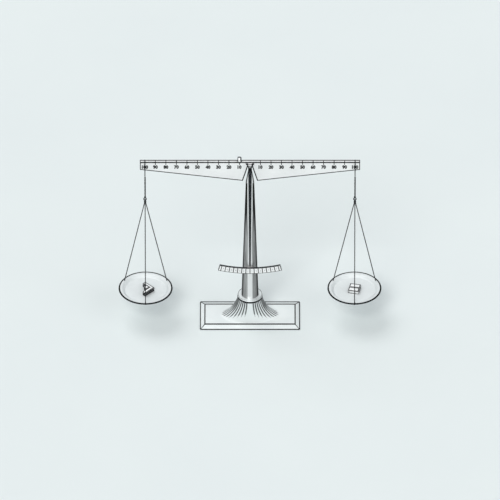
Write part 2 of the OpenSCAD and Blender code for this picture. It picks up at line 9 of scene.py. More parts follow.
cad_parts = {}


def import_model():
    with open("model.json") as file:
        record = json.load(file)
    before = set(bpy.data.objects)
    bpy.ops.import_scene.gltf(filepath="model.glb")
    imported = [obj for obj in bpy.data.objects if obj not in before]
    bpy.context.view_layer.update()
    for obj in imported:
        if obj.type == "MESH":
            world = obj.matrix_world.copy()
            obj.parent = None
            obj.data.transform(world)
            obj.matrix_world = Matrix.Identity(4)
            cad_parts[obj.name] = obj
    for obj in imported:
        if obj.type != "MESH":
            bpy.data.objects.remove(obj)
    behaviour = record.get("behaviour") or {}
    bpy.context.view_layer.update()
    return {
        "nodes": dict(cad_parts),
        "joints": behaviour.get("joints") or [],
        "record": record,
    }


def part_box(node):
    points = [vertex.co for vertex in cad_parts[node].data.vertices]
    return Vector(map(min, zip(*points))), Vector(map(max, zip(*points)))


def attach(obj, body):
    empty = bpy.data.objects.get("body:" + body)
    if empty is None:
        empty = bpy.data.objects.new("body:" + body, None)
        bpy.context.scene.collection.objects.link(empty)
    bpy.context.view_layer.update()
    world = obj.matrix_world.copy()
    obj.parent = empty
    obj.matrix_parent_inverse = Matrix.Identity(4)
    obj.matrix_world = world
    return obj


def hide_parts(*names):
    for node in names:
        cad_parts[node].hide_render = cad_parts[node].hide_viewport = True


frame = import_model()

MM = 0.001
nodes = frame["nodes"]
joints = {j["name"]: j for j in frame["joints"]}
PIVOT = Vector(joints["beam_tilt"]["pos_m"])
ARM = joints["right_stirrup_swing"]["pos_m"][0]
EYE_Z = joints["right_pan_swing"]["pos_m"][2]
HANG_Z = joints["right_stirrup_swing"]["pos_m"][2]
BEAM_LOW, BEAM_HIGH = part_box("beam")
ARC_LOW, ARC_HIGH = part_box("index_arc")
ARC_RADIUS = PIVOT.z - ARC_LOW.z
GRADUATIONS = 10
STEP = ARM / GRADUATIONS
GROOVE_WIDTH = 1.0 * MM
GROOVE_DROP = 4.7 * MM
GROOVE_DEPTH = 0.25 * MM
ARC_DIVISIONS = 7
DIVISION_ANGLE = math.radians(1.9)
ARC_FACE_HEIGHT = 8.4 * MM
CORD_ANGLES = {"front": 270, "right": 30, "left": 150}

# A painted line stands a little above its face and reaches into it; a groove's fill lies under it.
LINE_PROUD, LINE_SUNK = 0.03 * MM, 0.05 * MM
FILL_SINK = 0.04 * MM
NUMERAL_DEPTH = 0.03 * MM

# Places along one hanger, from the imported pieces.
CORD_TOP_RADIUS = 0.85 * MM
STIRRUP_WIRE = 0.6 * MM
NOTCH = STIRRUP_WIRE + 0.05 * MM
KNOT_LOW, KNOT_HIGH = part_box("right_knot")
RIM_KNOT_LOW, RIM_KNOT_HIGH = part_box("right_rim_knots")
HOLE_RADIUS = -RIM_KNOT_LOW.y - (RIM_KNOT_HIGH.z - RIM_KNOT_LOW.z) / 2
PAN_LOW, PAN_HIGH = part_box("right_pan")
PAN_RADIUS = PAN_HIGH.x - ARM
RING_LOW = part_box("right_ring")[0]
EYE_RADIUS = 1.7 * MM


# Mesh helpers.
def eased(share):
    """An S-shaped step from 0 to 1."""
    share = min(1, max(0, share))
    return share * share * (3 - 2 * share)


def round_turn(count):
    """Equal steps of angle once round."""
    return [math.tau * k / count for k in range(count)]


def both_sides(count):
    """The numbers of the marks on both sides of the middle, which is left out."""
    return [k for k in range(-count, count + 1) if k]


def piece(name, verts, faces, material, body, stands_for=(), slot=None, smooth=True, sharp=40):
    """A mesh object that rides on a body, with one material."""
    mesh = bpy.data.meshes.new(name)
    mesh.from_pydata([tuple(v) for v in verts], [], [tuple(f) for f in faces])
    return finish_piece(name, mesh, material, body, stands_for, smooth, sharp)


def finish_piece(name, mesh, material, body, stands_for=(), smooth=True, sharp=40):
    """Recalculates a mesh's normals, shades it and ties it to its body."""
    bm = bmesh.new()
    bm.from_mesh(mesh)
    bmesh.ops.remove_doubles(bm, verts=bm.verts, dist=1e-7)
    bmesh.ops.recalc_face_normals(bm, faces=bm.faces)
    for edge in bm.edges:
        edge.smooth = len(edge.link_faces) != 2 or edge.calc_face_angle(0) < math.radians(sharp)
    for face in bm.faces:
        face.smooth = smooth
    bm.to_mesh(mesh)
    bm.free()
    obj = bpy.data.objects.new(name, mesh)
    bpy.context.scene.collection.objects.link(obj)
    mesh.materials.append(material)
    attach(obj, body)
    if stands_for:
        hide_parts(*stands_for)
    return obj


def merged(parts):
    """Joins (verts, faces) pairs into one pair."""
    verts, faces = [], []
    for part_verts, part_faces in parts:
        base = len(verts)
        verts += part_verts
        faces += [[base + i for i in f] for f in part_faces]
    return verts, faces


def tube(path, radius, sides, closed=False):
    """A round tube along a path, with a frame carried along it so that it doesn't twist."""
    count = len(path)
    radii = radius if isinstance(radius, list) else [radius] * count
    ahead = [(path[(i + 1) % count] if closed or i < count - 1 else path[i])
             - (path[i - 1] if closed or i > 0 else path[i]) for i in range(count)]
    ahead = [a.normalized() for a in ahead]
    side = ahead[0].orthogonal().normalized()
    verts = []
    for i in range(count):
        side = (side - ahead[i] * side.dot(ahead[i])).normalized()
        other = ahead[i].cross(side)
        for turn in round_turn(sides):
            verts.append(path[i] + (side * math.cos(turn) + other * math.sin(turn)) * radii[i])
    faces = []
    for i in range(count if closed else count - 1):
        for k in range(sides):
            a, b = i * sides + k, i * sides + (k + 1) % sides
            c, d = ((i + 1) % count) * sides + (k + 1) % sides, ((i + 1) % count) * sides + k
            faces.append([a, b, c, d])
    if not closed:
        faces += [list(range(sides)), list(range((count - 1) * sides, count * sides))]
    return verts, faces


def lathe(profile, centre, sides):
    """Turns an outline of (radius, height) points about a vertical line."""
    verts, faces, rings = [], [], []
    for r, z in profile:
        if r < 1e-7:
            rings.append([len(verts)])
            verts.append(centre + Vector((0, 0, z)))
        else:
            rings.append(list(range(len(verts), len(verts) + sides)))
            verts += [centre + Vector((r * math.cos(t), r * math.sin(t), z)) for t in round_turn(sides)]
    for low, high in zip(rings, rings[1:]):
        for k in range(sides):
            n = (k + 1) % sides
            if len(low) == 1 and len(high) > 1:
                faces.append([low[0], high[k], high[n]])
            elif len(high) == 1 and len(low) > 1:
                faces.append([low[k], low[n], high[0]])
            elif len(low) > 1:
                faces.append([low[k], low[n], high[n], high[k]])
    return verts, faces


def slab(outline, y0, y1):
    """A flat plate between two Y planes, whose outline is in (X, Z)."""
    n = len(outline)
    verts = [Vector((x, y0, z)) for x, z in outline] + [Vector((x, y1, z)) for x, z in outline]
    faces = [list(range(n)), list(range(2 * n - 1, n - 1, -1))]
    faces += [[i, (i + 1) % n, n + (i + 1) % n, n + i] for i in range(n)]
    return verts, faces


def inset(outline, depths):
    """The corners of a closed outline, given counterclockwise, with each side moved inwards."""
    moved = []
    for i, here in enumerate(outline):
        a = (Vector(here) - Vector(outline[i - 1])).normalized()
        b = (Vector(outline[(i + 1) % len(outline)]) - Vector(here)).normalized()
        turn = a.x * b.y - a.y * b.x
        moved.append(Vector(here) + b * (depths[i - 1] / turn) - a * (depths[i] / turn))
    return moved


def border(outline, margin, widths, y0, y1, gaps=()):
    """Strips along the sides of an outline in (X, Z); horizontal sides leave out the gaps in X."""
    outer, inner = inset(outline, [margin] * len(widths)), inset(outline, [margin + w for w in widths])
    parts = []
    for i in range(len(outline)):
        k = (i + 1) % len(outline)
        left, right = sorted((outer[i].x, outer[k].x))
        cuts = [x for gap in gaps for x in gap if left < gap[0] and gap[1] < right]
        if cuts and abs(outer[i].y - outer[k].y) < 1e-9:
            low, high = sorted((outer[i].y, inner[i].y))
            stops = sorted([left, right] + cuts)
            parts += [block((x0, y0, low), (x1, y1, high)) for x0, x1 in zip(stops[::2], stops[1::2])]
        else:
            parts.append(slab([outer[i], outer[k], inner[k], inner[i]], y0, y1))
    return merged(parts)


def whole_faces(node):
    """A copy of a node's own solid, whose flat faces are not cut into triangles."""
    bm = bmesh.new()
    bm.from_mesh(nodes[node].data)
    bmesh.ops.remove_doubles(bm, verts=bm.verts, dist=1e-6)
    bmesh.ops.dissolve_limit(bm, angle_limit=math.radians(1), verts=bm.verts, edges=bm.edges)
    return bm


def softened(name, node, width, material, body):
    """A node's own solid with every sharp edge chamfered."""
    bm = whole_faces(node)
    sharp = [e for e in bm.edges if len(e.link_faces) == 2 and e.calc_face_angle(0) > math.radians(40)]
    bmesh.ops.bevel(bm, geom=sharp, offset=width, segments=2, profile=0.5, affect="EDGES")
    mesh = bpy.data.meshes.new(name)
    bm.to_mesh(mesh)
    bm.free()
    return finish_piece(name, mesh, material, body, [node])


def top_outline(node):
    """The corners of a node's highest flat face in (X, Y), counterclockwise, and its height."""
    bm = whole_faces(node)
    top = max((f for f in bm.faces if f.normal.z > 0.99), key=lambda f: f.calc_center_median().z)
    corners, height = [(v.co.x, v.co.y) for v in top.verts], top.verts[0].co.z
    bm.free()
    return corners, height


def laid_flat(height, outline, margin, widths, gaps=()):
    """A thin border in a level face, whose outline is in (X, Y)."""
    verts, faces = border(outline, margin, widths, -height - LINE_PROUD, -height + LINE_SUNK, gaps)
    return [Vector((v.x, v.z, -v.y)) for v in verts], faces


def block(low, high):
    """A plain box between two corners."""
    return slab([(low[0], low[2]), (high[0], low[2]), (high[0], high[2]), (low[0], high[2])],
                low[1], high[1])


# Materials.
class Finish:
    """One node-based material round a Principled shader."""

    def __init__(self, name, **sockets):
        self.material = bpy.data.materials.new(name)
        self.material.use_nodes = True
        self.tree = self.material.node_tree
        self.tree.nodes.clear()
        self.shader = self.add("ShaderNodeBsdfPrincipled")
        self.join(self.shader.outputs[0], self.add("ShaderNodeOutputMaterial").inputs[0])
        for socket, value in sockets.items():
            self.shader.inputs[socket.replace("_", " ")].default_value = value
        self.space = self.add("ShaderNodeTexCoord").outputs["Object"]

    def add(self, kind, **values):
        node = self.tree.nodes.new(kind)
        for key, value in values.items():
            setattr(node, key, value)
        return node

    def join(self, source, target):
        self.tree.links.new(source, target)

    def feed(self, node, values):
        """Sets or links a node's inputs, by name or number."""
        for key, value in values.items():
            if isinstance(value, bpy.types.NodeSocket):
                self.join(value, node.inputs[key])
            else:
                node.inputs[key].default_value = value
        return node

    def split(self, vector):
        """The X, Y and Z of a vector, by name."""
        return self.feed(self.add("ShaderNodeSeparateXYZ"), {0: vector}).outputs

    def place(self):
        """Where a point is at rest."""
        return self.split(self.space)

    def facing(self):
        """Which way the surface faces at rest."""
        return self.split(self.add("ShaderNodeTexCoord").outputs["Normal"])

    def stretched(self, x, y, z):
        node = self.add("ShaderNodeMapping")
        self.feed(node, {"Vector": self.space, "Scale": (x, y, z)})
        return node.outputs[0]

    def noise(self, scale, detail=4.0, roughness=0.55, source=None, distortion=0.0):
        node = self.add("ShaderNodeTexNoise")
        self.feed(node, {"Vector": source or self.space, "Scale": scale, "Detail": detail,
                         "Roughness": roughness, "Distortion": distortion})
        return node.outputs[0]

    def cells(self, scale):
        node = self.add("ShaderNodeTexVoronoi")
        self.feed(node, {"Vector": self.space, "Scale": scale})
        return node.outputs[0]

    def ramp(self, value, low, high, to_low=0.0, to_high=1.0):
        node = self.add("ShaderNodeMapRange")
        self.feed(node, {"Value": value, 1: low, 2: high, 3: to_low, 4: to_high})
        return node.outputs[0]

    def calc(self, operation, a, b=0.0, clamp=False):
        node = self.add("ShaderNodeMath", operation=operation, use_clamp=clamp)
        self.feed(node, {0: a, 1: b})
        return node.outputs[0]

    def mix(self, share, low, high):
        node = self.add("ShaderNodeMix", data_type="RGBA")
        self.feed(node, {0: share, 6: low, 7: high})
        return node.outputs[2]

    def bump(self, height, strength, distance, normal=None):
        node = self.add("ShaderNodeBump")
        values = {"Height": height, "Strength": strength, "Distance": distance}
        if normal is not None:
            values["Normal"] = normal
        self.feed(node, values)
        return node.outputs[0]

    def rounded(self, radius):
        """Normals as if each sharp edge had a small round."""
        node = self.add("ShaderNodeBevel", samples=6)
        self.feed(node, {"Radius": radius})
        return node.outputs[0]

    def edges(self, radius, low=0.02, high=0.25):
        """1 on sharp edges and 0 on open faces."""
        turned = self.add("ShaderNodeVectorMath", operation="DOT_PRODUCT")
        self.feed(turned, {0: self.rounded(radius), 1: self.add("ShaderNodeNewGeometry").outputs["Normal"]})
        return self.ramp(self.calc("SUBTRACT", 1.0, turned.outputs["Value"]), low, high)

    def shade(self, **sockets):
        for socket, value in sockets.items():
            self.feed(self.shader, {socket.replace("_", " "): value})
        return self.material


def grey(value, blue=1.0):
    """A near-neutral colour, with its blue a little apart."""
    return (value * (2 - blue), value, value * blue, 1)


def enamel():
    f = Finish("enamel", IOR=1.5, Coat_Weight=0.25, Coat_Roughness=0.2)
    cloud = f.noise(38, 5)
    mottle = f.mix(f.ramp(cloud, 0.35, 0.68), (0.70, 0.745, 0.75, 1), (0.76, 0.80, 0.80, 1))
    # The attribute darkens the flare: dark in its grooves, and painted shade on its two sides below the
    # collar.
    groove_dark_and_side_shade = f.add("ShaderNodeAttribute", attribute_name="groove_dark_and_side_shade").outputs["Fac"]
    shade = f.calc("MULTIPLY", groove_dark_and_side_shade, f.ramp(f.noise(260, 3), 0.2, 0.7, 0.85, 1.0), clamp=True)
    wear = f.calc("MULTIPLY", f.edges(0.5 * MM), f.ramp(f.noise(420, 6, 0.7), 0.50, 0.62))
    wear = f.calc("MULTIPLY", wear, f.calc("SUBTRACT", 0.7, groove_dark_and_side_shade, clamp=True))
    worn = f.mix(wear, mottle, (0.20, 0.205, 0.21, 1))
    specks = f.ramp(f.cells(900), 0.05, 0.075, 1.0, 0.0)
    specks = f.calc("MULTIPLY", specks, f.ramp(f.noise(60, 2), 0.56, 0.62))
    specked = f.mix(f.calc("MULTIPLY", specks, 0.4), worn, (0.25, 0.26, 0.265, 1))
    colour = f.mix(shade, specked, (0.015, 0.016, 0.018, 1))
    peel = f.calc("ADD", f.noise(520, 3), f.calc("MULTIPLY", f.noise(1900, 2), 0.3))
    normal = f.bump(peel, 0.12, 0.15 * MM, f.rounded(0.35 * MM))
    return f.shade(Base_Color=colour, Normal=normal, Roughness=f.ramp(f.noise(90, 5), 0.3, 0.7, 0.35, 0.5))


def turned_steel():
    """The column: a painted highlight down the front behind the pointer, grey beside that, painted shade
    round the sides, the back and the right, and painted shade darkening it near its top."""
    f = Finish("turned_steel", Metallic=0.8, Specular_Tint=(0.10, 0.10, 0.11, 1))
    place, back = f.place(), f.facing()["Y"]
    height = place["Z"]
    hatch = f.noise(900, 4, 0.7, f.stretched(1, 1, 0.012))
    uneven = f.calc("SUBTRACT", hatch, 0.5)
    # A painted highlight: a bright band down the front, with a half width set by height and edges broken by
    # the streaks.
    half = f.calc("MAXIMUM", f.ramp(height, 85 * MM, 110 * MM, 3.2 * MM, 2.6 * MM),
                  f.ramp(height, 140 * MM, 170 * MM, 2.6 * MM, 3.4 * MM))
    reach = f.calc("ADD", f.calc("ABSOLUTE", place["X"]), f.calc("MULTIPLY", uneven, 1.2 * MM))
    bright = f.calc("MULTIPLY", f.ramp(f.calc("SUBTRACT", half, reach), -0.4 * MM, 0.4 * MM),
                    f.ramp(back, -0.2, 0.2, 1.0, 0.0))
    # Painted shade that darkens the column near its top.
    painted_top_shade = f.ramp(f.calc("ADD", height, f.calc("MULTIPLY", uneven, 60 * MM)), 138 * MM, 176 * MM)
    # Painted shade round the sides and the back.
    painted_round_shade = f.ramp(f.calc("ADD", back, f.calc("MULTIPLY", uneven, 0.35)), -0.66, -0.36)
    # Painted shade that darkens the right side.
    shaded_right = f.ramp(place["X"], -3 * MM, 3 * MM, 0.0, 0.3)
    sides = f.mix(f.ramp(hatch, 0.35, 0.65), grey(0.27), grey(0.50))
    sides = f.mix(shaded_right, sides, grey(0.10))
    sides = f.mix(painted_round_shade, sides, grey(0.035))
    sides = f.mix(painted_top_shade, sides, grey(0.012))
    colour = f.mix(bright, sides, grey(0.82))
    roughness = f.ramp(f.noise(40, 6, 0.6), 0.3, 0.7, 0.30, 0.42)
    return f.shade(Base_Color=colour, Roughness=roughness,
                   Normal=f.bump(hatch, 0.08, 0.05 * MM, f.rounded(0.15 * MM)))


def metal(name, dark, light, rough, metallic=1.0, brush=(1, 1, 1), brush_scale=900, brush_depth=0.05,
          round_edge=0.15, tarnish=0.0, edge_light=0.0, edge_range=(0.02, 0.25), black=None, **sockets):
    """A worn plated or polished metal, with fine marks stretched along the way it was finished.
    black is a function that gives a mask of places painted near black, as painted shade."""
    f = Finish(name, Metallic=metallic, **sockets)
    smudge = 30
    marks = f.noise(brush_scale, 3, 0.6, f.stretched(*brush))
    cloud = f.noise(smudge, 6, 0.6)
    colour = f.mix(f.ramp(cloud, 0.3, 0.7), dark, light)
    if tarnish:
        spots = f.ramp(f.noise(smudge * 6, 8, 0.65, distortion=0.6), 0.58, 0.72)
        colour = f.mix(f.calc("MULTIPLY", spots, tarnish), colour, tuple(c * 0.45 for c in dark[:3]) + (1,))
    if black:
        colour = f.mix(black(f), colour, (0.014, 0.015, 0.017, 1))
    # Edges are lightened as worn bright metal; on the blued pointer this bright ridge is also a painted
    # highlight.
    if edge_light:
        colour = f.mix(f.calc("MULTIPLY", f.edges(round_edge * 1.6 * MM, *edge_range), edge_light), colour,
                       (0.72, 0.73, 0.74, 1))
    roughness = f.calc("ADD", f.ramp(cloud, 0.3, 0.7, rough * 0.85, rough * 1.2),
                       f.ramp(marks, 0.3, 0.7, -0.04, 0.05))
    normal = f.bump(marks, brush_depth, 0.05 * MM, f.rounded(round_edge * MM))
    return f.shade(Base_Color=colour, Roughness=roughness, Normal=normal)


def below(height):
    """A mask that is 1 under a height at rest."""
    def mask(f):
        return f.ramp(f.place()["Z"], height - 0.01 * MM, height + 0.01 * MM, 1.0, 0.0)
    return mask


def not_facing(axis, both_ways=False):
    """A mask that is 1 where the surface does not face along an axis of its own object."""
    def mask(f):
        part = f.facing()[axis]
        return f.ramp(f.calc("ABSOLUTE", part) if both_ways else part, 0.9, 0.95, 1.0, 0.0)
    return mask


def bar_black(f):
    """Painted shade on a bar's ends, rear and edges; its top and the middle of its front stay bright."""
    low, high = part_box("weight_bar_front")
    line, facing = 0.85 * MM, f.facing()
    middle, half = (low.z + high.z) / 2, (high.z - low.z) / 2 - line
    top = f.ramp(facing["Z"], 0.9, 0.95)
    off_middle = f.calc("ABSOLUTE", f.calc("SUBTRACT", f.place()["Z"], middle))
    front = f.calc("MULTIPLY", f.ramp(facing["Y"], -0.95, -0.9, 1.0, 0.0),
                   f.ramp(off_middle, half - 0.05 * MM, half + 0.05 * MM, 1.0, 0.0))
    return f.calc("SUBTRACT", 1.0, f.calc("MAXIMUM", top, front))


def rider_black(f):
    """Painted shade: the rider's two sides, the foot of its cheeks and the rear of its crown are painted near
    black.
    """
    low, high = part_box("rider")
    place, shift = f.place(), 0.25 * MM
    middle = (low.x + high.x) / 2 - shift
    off_centre = f.calc("ABSOLUTE", f.calc("SUBTRACT", place["X"], middle))
    sides = f.ramp(off_centre, 1.3 * MM, 1.35 * MM)
    foot = f.ramp(place["Z"], BEAM_HIGH.z + 0.9 * MM, BEAM_HIGH.z + 0.95 * MM, 1.0, 0.0)
    rear = f.ramp(place["Y"], 0.6 * MM, 0.65 * MM)
    return f.calc("MAXIMUM", f.calc("MAXIMUM", sides, foot), rear)


def boss_black(f):
    """Painted shade on all of the boss but its half disc and a painted highlight, a tongue of bright metal
    that narrows down its neck.
    """
    high, tongue_length, tongue_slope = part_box("pointer_boss")[1].z, 7.5 * MM, 0.3
    place = f.place()
    height = place["Z"]
    out = f.calc("SUBTRACT", place["Y"], BEAM_LOW.y)
    radius = f.calc("SQRT", f.calc("ADD", f.calc("POWER", place["X"], 2.0), f.calc("POWER", out, 2.0)))
    disc = f.ramp(height, high - 0.11 * MM, high - 0.09 * MM)
    half = f.calc("MULTIPLY", f.calc("SUBTRACT", height, high - tongue_length), tongue_slope)
    tongue = f.ramp(f.calc("SUBTRACT", half, f.calc("ABSOLUTE", place["X"])), 0.0, 0.15 * MM)
    line = f.calc("MULTIPLY", f.ramp(height, high - 0.40 * MM, high - 0.35 * MM),
                  f.ramp(radius, 3.25 * MM, 3.35 * MM, 1.0, 0.0))
    tongue = f.calc("MULTIPLY", tongue, f.calc("SUBTRACT", 1.0, line))
    return f.calc("SUBTRACT", 1.0, f.calc("MAXIMUM", disc, tongue))


def head_black(f):
    """Painted shade on the two sides of the column's conical head."""
    return f.ramp(f.calc("ABSOLUTE", f.facing()["Y"]), 0.60, 0.70, 1.0, 0.0)


def spun(centre_x):
    """Spun sheet metal, with fine rings about the middle of one pan and a black rim, wider in front as
    painted shade.
    """
    f = Finish("spun_pan", Metallic=0.3)
    shift = f.add("ShaderNodeMapping")
    f.feed(shift, {"Vector": f.space, "Location": (-centre_x, 0, 0)})
    flat = f.add("ShaderNodeVectorMath", operation="MULTIPLY")
    f.feed(flat, {0: shift.outputs[0], 1: (1, 1, 0)})
    span = f.add("ShaderNodeVectorMath", operation="LENGTH")
    f.feed(span, {0: flat.outputs[0]})
    radius = span.outputs["Value"]
    along = f.add("ShaderNodeCombineXYZ")
    f.feed(along, {"X": radius, "Y": f.calc("MULTIPLY", f.noise(14, 1), 0.0006)})
    rings = f.noise(4200, 4, 0.7, along.outputs[0])
    cloud = f.noise(55, 6, 0.6)
    colour = f.mix(f.ramp(cloud, 0.3, 0.7), (0.64, 0.67, 0.675, 1), (0.69, 0.72, 0.725, 1))
    # The black rim is wider at the front than at the back: painted shade on the front of the rim.
    width = f.ramp(f.place()["Y"], PAN_LOW.y, PAN_HIGH.y, 2.4 * MM, 1.8 * MM)
    inside = f.calc("SUBTRACT", PAN_RADIUS, f.calc("ADD", radius, width))
    edge = f.ramp(inside, -0.1 * MM, 0.0, 1.0, 0.0)
    colour = f.mix(edge, colour, (0.010, 0.011, 0.012, 1))
    f.shade(Specular_IOR_Level=f.ramp(edge, 0.0, 1.0, 0.5, 0.1))
    scratch = f.ramp(f.noise(300, 8, 0.8, f.stretched(1, 6, 1)), 0.66, 0.72)
    roughness = f.calc("ADD", f.ramp(rings, 0.3, 0.7, 0.58, 0.70), f.calc("MULTIPLY", scratch, 0.15))
    height = f.calc("ADD", rings, f.calc("MULTIPLY", scratch, -0.5))
    return f.shade(Base_Color=colour, Roughness=roughness, Normal=f.bump(height, 0.10, 0.05 * MM))


def silk():
    f = Finish("black_silk", Sheen_Weight=0.06, Sheen_Roughness=0.4, Specular_IOR_Level=0.25)
    fibre = f.noise(5200, 3, 0.6, f.stretched(1, 1, 0.18))
    colour = f.mix(f.ramp(fibre, 0.3, 0.7), (0.007, 0.007, 0.008, 1), (0.022, 0.023, 0.026, 1))
    return f.shade(Base_Color=colour, Roughness=f.ramp(fibre, 0.3, 0.7, 0.5, 0.72),
                   Normal=f.bump(fibre, 0.4, 0.05 * MM))


def agate():
    f = Finish("agate", IOR=1.54, Coat_Weight=0.5, Coat_Roughness=0.05)
    bands = f.add("ShaderNodeTexWave", bands_direction="Z")
    f.feed(bands, {"Vector": f.space, "Scale": 900.0, "Distortion": 4.0, "Detail": 3.0})
    colour = f.mix(bands.outputs["Fac"], (0.20, 0.19, 0.19, 1), (0.45, 0.44, 0.44, 1))
    return f.shade(Base_Color=colour, Roughness=f.ramp(f.noise(1200), 0.3, 0.7, 0.1, 0.2))


def fill(name, dark, light):
    """Wax rubbed into engraved lines."""
    f = Finish(name, Specular_IOR_Level=0.2)
    grain = f.noise(2600, 4, 0.7)
    colour = f.mix(f.ramp(grain, 0.35, 0.75), dark, light)
    return f.shade(Base_Color=colour, Roughness=f.ramp(grain, 0.3, 0.7, 0.5, 0.75),
                   Normal=f.bump(grain, 0.3, 0.03 * MM))


DIM_TINT = (0.3, 0.3, 0.33, 1)
INK = fill("black_fill", grey(0.006), grey(0.018))
GREY_FILL = fill("grey_fill", grey(0.30), grey(0.42))
SILK = silk()
LOOKS = {
    "enamel": enamel(),
    "nickel": metal("polished_nickel", grey(0.78), grey(0.86), 0.36, 0.7, brush=(1, 1, 14), brush_depth=0.04,
                    Specular_Tint=(0.12, 0.12, 0.13, 1)),
    "gunmetal": metal("gunmetal", grey(0.24), grey(0.40), 0.36, brush=(1, 1, 9), brush_scale=500,
                      tarnish=0.2),
    "plain_steel": metal("bright_steel", grey(0.30), grey(0.42), 0.3, brush_depth=0.08, edge_light=0.3),
    "agate": agate(),
    # The scale's top, ends and underside are painted near black: painted shade on its top and black edges
    # round its face.
    "silvered_scale": metal("silvered_scale", grey(0.82), grey(0.90), 0.5, 0.5, brush=(0.15, 1, 1),
                            brush_depth=0.08, tarnish=0.10, black=not_facing("Y", True)),
    "silvered_beam": metal("silvered_beam", grey(0.82), grey(0.90), 0.48, 0.5, brush=(0.04, 1, 1),
                           brush_scale=1300, brush_depth=0.12, tarnish=0.12),
    "blued_steel": metal("blued_steel", grey(0.012, 1.15), grey(0.024, 1.15), 0.34, brush=(1, 1, 0.08),
                         brush_depth=0.10, edge_light=0.6, edge_range=(0.01, 0.06),
                         Specular_Tint=DIM_TINT),
    "wire": metal("blackened_wire", grey(0.016, 1.1), grey(0.035, 1.1), 0.4, brush=(1, 1, 0.1),
                  brush_depth=0.08, Specular_Tint=DIM_TINT),
    "cord": SILK,
    "pan_metal": spun(ARM),
    "weight_metal": metal("weight_metal", grey(0.70), grey(0.82), 0.36, 0.8, brush=(1, 0.1, 1),
                          brush_depth=0.10, round_edge=0.12, tarnish=0.2),
}
# The collar's side wall is painted near black below its top, as painted shade under the bright ring.
COLLAR_LOOK = metal("collar_nickel", (0.71, 0.745, 0.75, 1), (0.76, 0.795, 0.80, 1), 0.5, 0.4,
                    brush=(1, 1, 14), brush_depth=0.04,
                    black=below(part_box("column_collar")[1].z - 1.0 * MM))
RIDER_LOOK = metal("rider_steel", grey(0.80), grey(0.88), 0.36, 0.7, brush_depth=0.06, black=rider_black)
HEAD_LOOK = metal("head_nickel", grey(0.76), grey(0.84), 0.42, 0.5, brush=(1, 1, 14), brush_depth=0.04,
                  black=head_black)
BOSS_LOOK = metal("boss_steel", grey(0.78), grey(0.86), 0.34, 0.8, brush_depth=0.04, black=boss_black,
                  Specular_Tint=DIM_TINT)

for part in frame["record"]["subparts"]:
    node = nodes[part["node"]]
    node.data.materials.clear()
    node.data.materials.append(LOOKS[part["material_slot"]])
nodes["left_pan"].data.materials[0] = spun(-ARM)
nodes["column_tube"].data.materials[0] = turned_steel()
nodes["column_collar"].data.materials[0] = COLLAR_LOOK
nodes["column_head"].data.materials[0] = HEAD_LOOK
nodes["pointer_boss"].data.materials[0] = BOSS_LOOK


# Base.
BASE_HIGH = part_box("base_casting")[1]
CORNERS = ((-1, -1), (1, -1), (1, 1), (-1, 1))
PLATE_EDGE_Z, PLATE_TOP_Z = 0.9 * MM, 3.4 * MM
PLATE_TOP_X, PLATE_TOP_Y = BASE_HIGH.x - 6.2 * MM, BASE_HIGH.y - 8.5 * MM


def base_lining():
    """Black beads along the bevel's edges and mitres, round the flare's top and on the collar's edge."""
    sunk, mitre_bead, sides = 0.45 * MM, 0.50 * MM, 8
    inner = [Vector((i * PLATE_TOP_X, j * PLATE_TOP_Y, PLATE_TOP_Z)) for i, j in CORNERS]
    outer = [Vector((i * (BASE_HIGH.x - sunk), j * (BASE_HIGH.y - sunk), PLATE_EDGE_Z)) for i, j in CORNERS]
    # Radii of the upper and lower beads in front, on the right, behind and on the left.
    beads = ((0.95, 0.70), (0.75, 0.70), (0.75, 0.85), (0.75, 0.70))
    parts = []
    for k, (inner_bead, outer_bead) in enumerate(beads):
        parts.append(tube([inner[k], inner[(k + 1) % 4]], inner_bead * MM, sides))
        parts.append(tube([outer[k], outer[(k + 1) % 4]], outer_bead * MM, sides))
        parts.append(tube([inner[k], outer[k]], mitre_bead, sides))
    collar_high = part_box("column_collar")[1].z
    turns = round_turn(96)
    for radius, height, front, rear in ((16.05 * MM, BASE_HIGH.z - 0.1 * MM, 0.45 * MM, 0.45 * MM),
                                        (15.45 * MM, collar_high - 0.1 * MM, 0.12 * MM, 0.45 * MM)):
        ring = [Vector((radius * math.cos(t), radius * math.sin(t), height)) for t in turns]
        thick = [front + (rear - front) * (1 + math.sin(t)) / 2 for t in turns]
        parts.append(tube(ring, thick, sides, closed=True))
    return merged(parts)


